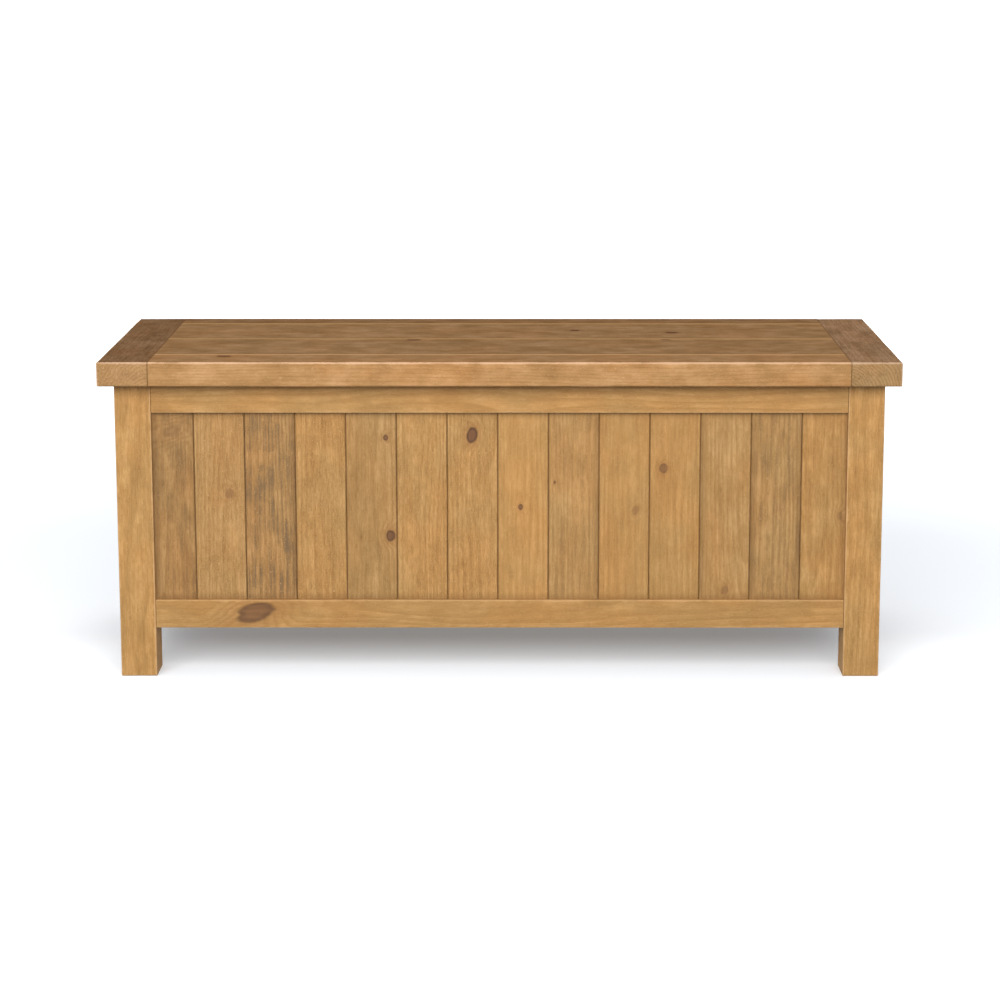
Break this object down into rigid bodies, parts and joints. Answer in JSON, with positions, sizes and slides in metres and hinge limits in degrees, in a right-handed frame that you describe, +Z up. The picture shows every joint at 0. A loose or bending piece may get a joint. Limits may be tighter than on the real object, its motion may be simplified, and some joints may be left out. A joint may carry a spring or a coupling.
{
  "type": "storage bench",
  "caption": "Low pine storage bench: boarded box on square legs under a hinged plank lid that serves as the seat.",
  "frame": {"origin": "centre of the bounding box at floor level", "axes": "+X along the bench to its right end, -Y out of the boarded front, +Z up"},
  "size_m": [1.1, 0.3884, 0.45],
  "materials": {
    "pine_lid": "satin waxed, darkened top",
    "pine_cleat": "satin waxed, darker than the lid",
    "pine_frame": "satin waxed",
    "pine_board": "satin waxed",
    "pine_raw": "unfinished",
    "plywood": "unfinished",
    "brass": "satin",
    "zinc_steel": "zinc plated"
  },
  "bodies": {
    "frame": {"leg_front_left": "pine_frame", "leg_rear_left": "pine_frame", "leg_front_right": "pine_frame", "leg_rear_right": "pine_frame", "rail_front_top": "pine_frame", "rail_front_bottom": "pine_frame", "rail_rear_top": "pine_frame", "rail_rear_bottom": "pine_frame", "rail_left_top": "pine_frame", "rail_left_bottom": "pine_frame", "rail_right_top": "pine_frame", "rail_right_bottom": "pine_frame", "front_board_01": "pine_board", "front_board_02": "pine_board", "front_board_03": "pine_board", "front_board_04": "pine_board", "front_board_05": "pine_board", "front_board_06": "pine_board", "front_board_07": "pine_board", "front_board_08": "pine_board", "front_board_09": "pine_board", "front_board_10": "pine_board", "front_board_11": "pine_board", "front_board_12": "pine_board", "front_board_13": "pine_board", "front_board_14": "pine_board", "left_board_01": "pine_board", "left_board_02": "pine_board", "left_board_03": "pine_board", "left_board_04": "pine_board", "right_board_01": "pine_board", "right_board_02": "pine_board", "right_board_03": "pine_board", "right_board_04": "pine_board", "rear_panel": "pine_board", "floor_panel": "plywood", "bearer_front": "pine_raw", "bearer_rear": "pine_raw", "hinge_left_frame_leaf": "brass", "hinge_left_pin": "brass", "hinge_right_frame_leaf": "brass", "hinge_right_pin": "brass", "stay_left_plate": "zinc_steel", "stay_right_plate": "zinc_steel"},
    "lid": {"lid_board_1": "pine_lid", "lid_board_2": "pine_lid", "lid_board_3": "pine_lid", "lid_board_4": "pine_lid", "lid_cleat_left": "pine_cleat", "lid_cleat_right": "pine_cleat", "lid_batten_left": "pine_raw", "lid_batten_right": "pine_raw", "hinge_left_lid_leaf": "brass", "hinge_right_lid_leaf": "brass", "stay_left_bracket": "zinc_steel", "stay_right_bracket": "zinc_steel"},
    "stay_arm_left": {"stay_left_arm": "zinc_steel"},
    "stay_arm_right": {"stay_right_arm": "zinc_steel"}
  },
  "joints": [
    {"name": "lid_hinge", "type": "hinge", "parent": "frame", "child": "lid", "pos_m": [0, 0.19015, 0.41585], "axis": [-1, 0, 0], "range_deg": [0, 95]},
    {"name": "stay_left_pivot", "type": "hinge", "parent": "lid", "child": "stay_arm_left", "pos_m": [-0.4962, 0.04257, 0.40034], "axis": [-1, 0, 0], "range_deg": [-47.5, 0]},
    {"name": "stay_right_pivot", "type": "hinge", "parent": "lid", "child": "stay_arm_right", "pos_m": [0.4962, 0.04257, 0.40034], "axis": [-1, 0, 0], "range_deg": [-47.5, 0]}
  ],
  "couplings": [
    {"joint": "stay_left_pivot", "follows": "lid_hinge", "ratio": -0.5},
    {"joint": "stay_right_pivot", "follows": "lid_hinge", "ratio": -0.5}
  ]
}
